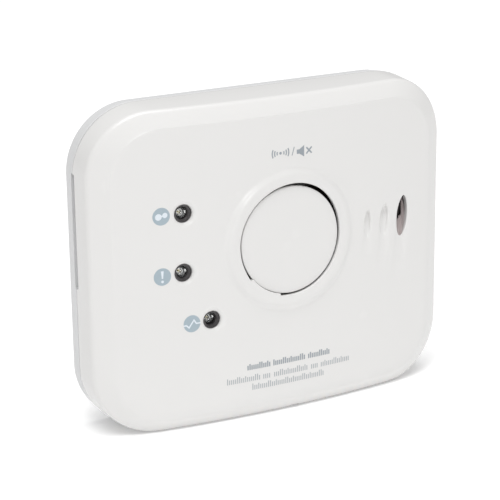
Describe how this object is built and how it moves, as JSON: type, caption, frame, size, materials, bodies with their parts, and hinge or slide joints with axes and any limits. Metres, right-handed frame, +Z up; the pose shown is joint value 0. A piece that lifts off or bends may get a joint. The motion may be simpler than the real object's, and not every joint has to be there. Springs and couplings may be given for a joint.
{
  "type": "carbon monoxide detector",
  "caption": "Domestic carbon monoxide alarm in a rounded rectangular case with a round test button, indicator lights, sound slots and a slide-on wall plate.",
  "frame": {"origin": "centre of the case's footprint, on the flat bottom face that it stands on", "axes": "+Z up, the front with the test button faces -Y, the wall plate is at +Y, +X to the right of a person facing the front"},
  "size_m": [0.12, 0.0234, 0.0979],
  "materials": {
    "white_plastic": "fine moulded texture, satin",
    "grey_plastic": "fine moulded texture",
    "black_plastic": "smooth",
    "clear_lens": "clear cast epoxy",
    "board": "solder resist on glass fibre board",
    "steel": "nickel plated",
    "brass": "rolled sheet",
    "ceramic": "fired, silvered",
    "cell_sleeve": "shrunk sleeve",
    "rubber": "closed foam",
    "label": "plain printed film",
    "copper": "enamelled wire"
  },
  "bodies": {
    "alarm_case": {"front_cover": "white_plastic", "rear_housing": "grey_plastic", "circuit_board": "board", "led_alarm": "clear_lens", "led_fault": "clear_lens", "led_power": "clear_lens", "led_holder_alarm": "black_plastic", "led_holder_fault": "black_plastic", "led_holder_power": "black_plastic", "test_switch_body": "black_plastic", "sensor_body": "steel", "sensor_gasket": "rubber", "sensor_cap": "black_plastic", "sounder_case": "black_plastic", "sounder_disc": "brass", "sounder_ceramic": "ceramic", "sounder_cap": "black_plastic", "sounder_contact_lower": "steel", "sounder_contact_upper": "steel", "battery_cell": "cell_sleeve", "battery_tab_negative": "steel", "battery_tab_positive": "steel", "microcontroller": "black_plastic", "capacitor_supply": "steel", "capacitor_sounder": "steel", "inductor": "copper", "voltage_regulator": "black_plastic", "case_screw_1": "steel", "case_screw_2": "steel", "case_screw_3": "steel", "case_screw_4": "steel", "board_screw_1": "steel", "board_screw_2": "steel", "board_screw_3": "steel", "slide_switch_body": "steel", "rear_label": "label"},
    "button": {"test_button": "white_plastic"},
    "plunger": {"test_switch_plunger": "grey_plastic"},
    "wall_plate": {"mounting_plate": "grey_plastic"},
    "slider": {"activation_slider": "black_plastic"}
  },
  "joints": [
    {"name": "button_press", "type": "hinge", "parent": "alarm_case", "child": "button", "pos_m": [-0.00685, -0.00993, 0.03971], "axis": [-0.8434, 0, 0.5373], "range_deg": [0, 1.4], "stiffness_Nm_per_rad": 0.6, "springref_deg": -1.15},
    {"name": "plunger_press", "type": "slide", "parent": "alarm_case", "child": "plunger", "axis": [0, 1, 0], "range_m": [0, 0.00045]},
    {"name": "plate_slide", "type": "slide", "parent": "alarm_case", "child": "wall_plate", "axis": [0, 0, -1], "range_m": [0, 0.008]},
    {"name": "activation_slide", "type": "slide", "parent": "alarm_case", "child": "slider", "axis": [-1, 0, 0], "range_m": [0, 0.004]}
  ],
  "couplings": [
    {"joint": "plunger_press", "follows": "button_press", "m_per_rad": 0.017}
  ]
}
